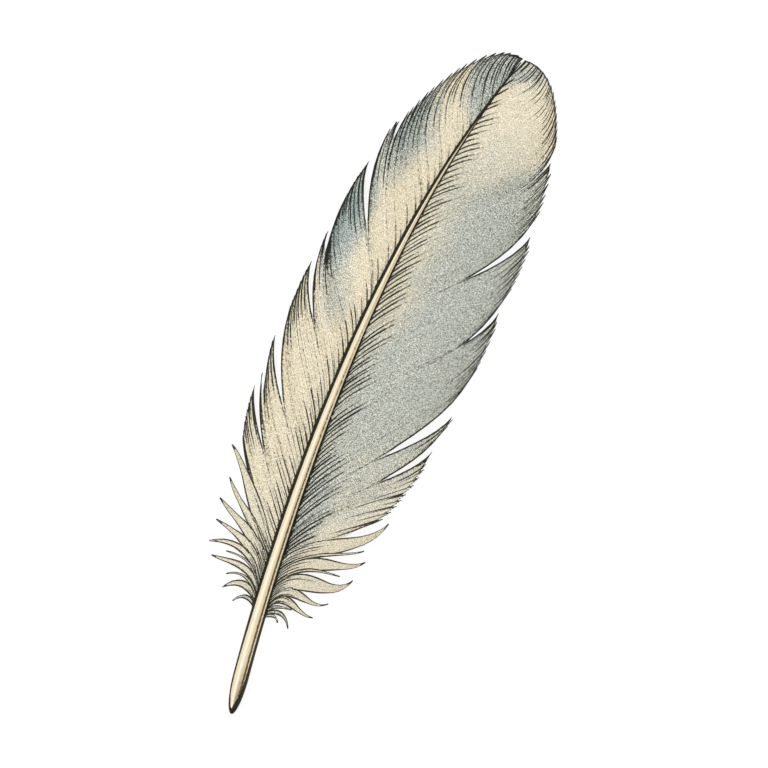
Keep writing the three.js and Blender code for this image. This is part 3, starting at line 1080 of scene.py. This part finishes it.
def edge_ink(side, lines, left_over, out, clefts, rng):
    """Ink of the rim's outline, of the dotted lines along some barbs and of the lines along the clefts."""
    count = len(lines)
    slant = np.abs((unit(lines[:, -1] - lines[:, -1 - OUTLINE_STEPS]) * out).sum(1))
    depth = left_over * np.maximum(slant, LEAST_SLANT)[:, None]
    dots = np.where(rng.random(count) < DOTTED[side], rng.uniform(*DOT_RANGE, count), 0)
    ink = np.maximum(1 - depth / OUTLINE, dots[:, None])
    inside = np.concatenate([np.zeros((1, BARB_STEPS)), np.cumsum(gaps_between(lines), axis=0)])
    for far, cleft in zip((inside, inside[-1] - inside), clefts):
        ink = np.maximum(ink, cleft_ink(cleft) * (1 - far / CLEFT_LINE))
    return ink


def web_barbs(side, web, clefts, pitch, rng):
    """Lines of a web's barbs between two clefts, their marks, and how far they lift off the sheet."""
    lines, root, tuft, out = web_lines(side, web, pitch, rng)
    run = runs(lines)
    left_over = run[:, -1:] - run
    weight = np.interp(root, *ROOT_WEIGHTS[side])[:, None]
    rim_reach = np.interp(root, *RIM_STROKES[side])[:, None]
    marks = {
        "root_ink_and_shade": stroke_ink(run, root_reach(side, lines, root, rng), weight),
        "tip_ink": stroke_ink(left_over / rim_reach, rim_share(side, lines, root, tuft, rng), RIM_WEIGHT),
        "edge_ink": edge_ink(side, lines, left_over, out, clefts, rng),
    }
    uneven = drawn_by(tuft, (-TUFT_WASH, TUFT_WASH), rng) + rng.uniform(-BARB_WASH, BARB_WASH, len(lines))
    marks["wash_and_shade"] = wash_at(side, lines[..., 0], lines[..., 1] + uneven[:, None])
    lift = drawn_by(tuft, (0, TUFT_LIFT), rng)[:, None] * BARB_WAYS**LIFT_POWER
    return lines, marks, lift


def closed(wings, clefts):
    """Wings of a web with its first and its last barb's outer ones widened as far as its clefts."""
    for strand, wing, cleft in zip((0, -1), (0, 1), clefts):
        share = smooth(BARB_WAYS, cleft + CLOSING_END, cleft - CLOSING_START)
        wings[strand, :, wing] += CLOSING_WIDTH * share
    return wings


def joined(rows):
    """Rows of (lines, wings, lift, marks) as one of each."""
    lines, wings, lift, marks = zip(*rows)
    every = {mark: np.concatenate([row[mark] for row in marks]) for mark in marks[0]}
    return np.concatenate(lines), np.concatenate(wings), np.concatenate(lift), every


def vane_piece(side, name, look):
    """One vane: the barbs of all its webs in one piece."""
    rng = np.random.default_rng(SEED + side)
    rows = []
    below = LOWEST_PARTS[side]
    for web in WEBS[side]:
        clefts = (below, web["parts"])
        lines, marks, lift = web_barbs(side, web, clefts, look.pitch / MM, rng)
        rows.append((lines, closed(wing_widths(lines, look.overlap), clefts), lift, marks))
        below = web["parts"]
    lines, wings, lift, marks = joined(rows)
    return strand_piece(name, side, lines, wings, lift, look.ridge / MM, marks)


class FEATHER_OT_vanes(bpy.types.Operator):
    """Make the narrow and the broad vane, barb by barb"""

    bl_idname = "feather.vanes"
    bl_label = "Vanes"

    def execute(self, context):
        look = context.scene.feather_vane
        finish = barb_finish("vane", look, VANE_ROUGHNESS)
        for side, name in ((LEFT, "left_vane"), (RIGHT, "right_vane")):
            vane = vane_piece(side, name + "_barbs", look)
            vane.data.materials.append(finish)
            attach(vane, BODY)
            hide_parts(name)
        return {"FINISHED"}


# Shares of a strand's way at which a lock has points, and its least and most strands
LOCK_STEPS = 18
LAST_LOCK_WAYS = (0.98, 1)
LOCK_WAYS = np.append(np.linspace(0, 1, LOCK_STEPS - 1)[:-1], LAST_LOCK_WAYS)
LOCK_STRANDS = (3, 12)
# Widths of a lock's tip, of one that is at its fullest, and of the dark wings along its edges
LOCK_TIP_WIDTH = 0.1
FULL_LOCK_WIDTH = 2.5
LOCK_EDGE_WIDTH = 0.12
LOCK_OVERLAP = 0.2
# Most by which inner strands end before the tip, and how soon a lock's fullness ends
LOCK_CUT = 1.4
FULLNESS_PACE = 1.5
CURL_POWER = 3
# Strokes of a lock: their shares of a strand, the short ones between them, their weight, and the dark tip
LOCK_STROKES = (0.2, 0.7)
SHORT_LOCK_STROKES = (0.4, 1.4)
LOCK_WEIGHT = 0.75
DARK_TIP = 1.2
# Slate share of a lock, the painted shade at its root beside the quill and how far that reaches, and how
# uneven it is
LOCK_WASH = 0.1
LOCK_ROOT_SHADE = 0.5
LOCK_ROOT_SHADE_REACH = 3
LOCK_WASH_RANGE = (-0.08, 0.08)
DOWN_ROUGHNESS = 0.85


def lock_lines(lock, look, rng):
    """Plan lines of a lock's strands, which leave the quill side by side and run together at the tip."""
    roots, low_bends, high_bends, tip = lock
    aim = unit(np.subtract(tip, low_bends[1], dtype=float))
    spread = left_of(aim) * LOCK_TIP_WIDTH / 2
    lower = edge_corners([roots[0], *low_bends, tip - spread])
    upper = edge_corners([roots[1], *high_bends, tip + spread])
    both = bezier(np.stack([lower, upper]), LOCK_WAYS)
    width = np.linalg.norm(both[1] - both[0], axis=1).max()
    count = int(np.clip(round(width * MM / look.pitch), *LOCK_STRANDS))
    shares = np.linspace(0, 1, count)
    curves = lower + (upper - lower) * shares[:, None, None]
    cuts = np.zeros(count)
    cuts[1:-1] = rng.uniform(0, LOCK_CUT, count - 2) / runs(both).max()
    ended = [bezier(curve[None], LOCK_WAYS * (1 - cut)) for curve, cut in zip(curves, cuts)]
    lines = np.concatenate(ended)
    fullness = look.fullness / MM * min(1, width / FULL_LOCK_WIDTH)
    swell = fullness * np.sin(np.pi * np.clip(FULLNESS_PACE * LOCK_WAYS, 0, 1))
    lines += tipwards(lines) * (swell * (2 * shares - 1)[:, None])[..., None]
    return lines


def lock_piece(side, name, lock, look, ridge, rng):
    """One lock: a bundle of strands with dark edges, a dark tip and strokes along every second strand."""
    lines = lock_lines(lock, look, rng)
    count = len(lines)
    run = runs(lines)
    whole = run[:, -1:]
    stroked = (np.arange(count) % 2 == 1) & (count > LOCK_STRANDS[0])
    long_reach = whole[:, 0] * rng.uniform(*LOCK_STROKES, count)
    reach = np.where(stroked, long_reach, rng.uniform(*SHORT_LOCK_STROKES, count))
    edge = np.zeros_like(run)
    edge[[0, -1]] = 1
    uneven = rng.uniform(*LOCK_WASH_RANGE, count)
    marks = {
        "root_ink_and_shade": np.minimum(LOCK_WEIGHT, STROKE_GAIN * (1 - run / reach[:, None])),
        "tip_ink": 1 - (whole - run) / DARK_TIP,
        "edge_ink": edge,
        # Painted shade at each lock's root beside the quill
        "wash_and_shade": LOCK_WASH + LOCK_ROOT_SHADE * np.exp(-run / LOCK_ROOT_SHADE_REACH) + uneven[:, None],
    }
    wings = wing_widths(lines, LOCK_OVERLAP)
    for strand, wing in ((0, 0), (-1, 1)):
        wings[strand, :-1, wing] = np.maximum(wings[strand, :-1, wing], LOCK_EDGE_WIDTH)
    lift = np.broadcast_to(look.curl / MM * LOCK_WAYS**CURL_POWER, run.shape)
    return strand_piece(name, side, lines, wings, lift, ridge, marks)


class FEATHER_OT_down(bpy.types.Operator):
    """Make the free locks on both sides of the quill's foot"""

    bl_idname = "feather.down"
    bl_label = "Down"

    def execute(self, context):
        look = context.scene.feather_down
        ridge = context.scene.feather_vane.ridge / MM
        finish = barb_finish("down", look, DOWN_ROUGHNESS)
        rng = np.random.default_rng(SEED)
        for side, word in ((LEFT, "left"), (RIGHT, "right")):
            for number, lock in enumerate(LOCKS[side], 1):
                node = f"{word}_down_{number}"
                piece = lock_piece(side, f"{word}_lock_{number}", lock, look, ridge, rng)
                piece.data.materials.append(finish)
                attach(piece, BODY)
                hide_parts(node)
        return {"FINISHED"}


# Place that the camera looks down on, across and along from the quill's foot, in millimetres
AIM = (1.36, 90.67)
# Place and side of the soft box, in metres
KEY_PLACE = (-0.47, 0.18, 0.6)
KEY_SIZE = 0.5


class FEATHER_OT_stage(bpy.types.Operator):
    """Make the floor, the soft light and the camera above the feather"""

    bl_idname = "feather.stage"
    bl_label = "Stage"

    def execute(self, context):
        scene = context.scene
        look = scene.feather_stage
        shape = bmesh.new()
        bmesh.ops.create_grid(shape, x_segments=1, y_segments=1, size=look.floor_size / 2)
        mesh = bpy.data.meshes.new("floor")
        shape.to_mesh(mesh)
        shape.free()
        mesh.materials.append(floor_finish(look))
        floor = shown("floor", mesh)
        world = bpy.data.worlds.new("even_light")
        world.use_nodes = True
        background = world.node_tree.nodes["Background"]
        background.inputs["Color"].default_value = (1, 1, 1, 1)
        background.inputs["Strength"].default_value = look.sky
        scene.world = world
        lamp = bpy.data.lights.new("soft_box", "AREA")
        lamp.energy = look.key
        lamp.size = KEY_SIZE
        key = shown("soft_box", lamp)
        key.location = KEY_PLACE
        key.rotation_euler = (-key.location).to_track_quat("-Z", "Y").to_euler()
        key.visible_camera = False
        lens = bpy.data.cameras.new("camera")
        lens.lens = look.lens
        camera = shown("camera", lens)
        distance = look.field * lens.lens / lens.sensor_width
        camera.location = (AIM[0] * MM + SHIFT[0], AIM[1] * MM + SHIFT[1], distance)
        camera.rotation_euler = (0, 0, look.turn)
        scene.camera = camera
        scene.view_settings.view_transform = "Standard"
        return {"FINISHED"}


class FEATHER_PT_parts(bpy.types.Panel):
    """The feather's pieces in the sidebar"""

    bl_idname = "FEATHER_PT_parts"
    bl_label = "Feather"
    bl_space_type = "VIEW_3D"
    bl_region_type = "UI"
    bl_category = "Feather"

    def draw(self, context):
        for operator in OPERATORS:
            self.layout.operator(operator.bl_idname)


OPERATORS = (FEATHER_OT_stage, FEATHER_OT_quill, FEATHER_OT_vanes, FEATHER_OT_down)
SETTINGS = {
    "feather_quill": QuillSettings,
    "feather_vane": VaneSettings,
    "feather_down": DownSettings,
    "feather_stage": StageSettings,
}


def register():
    """Add the settings, the operators and the panel."""
    for group in (*SETTINGS.values(), *OPERATORS, FEATHER_PT_parts):
        bpy.utils.register_class(group)
    for name, group in SETTINGS.items():
        setattr(bpy.types.Scene, name, bpy.props.PointerProperty(type=group))


def unregister():
    """Take away what register added."""
    for name in SETTINGS:
        delattr(bpy.types.Scene, name)
    for group in (FEATHER_PT_parts, *reversed(OPERATORS), *SETTINGS.values()):
        bpy.utils.unregister_class(group)


def main():
    """Make every piece in order."""
    register()
    bpy.ops.feather.stage()
    bpy.ops.feather.quill()
    bpy.ops.feather.vanes()
    bpy.ops.feather.down()


if __name__ == "__main__":
    main()
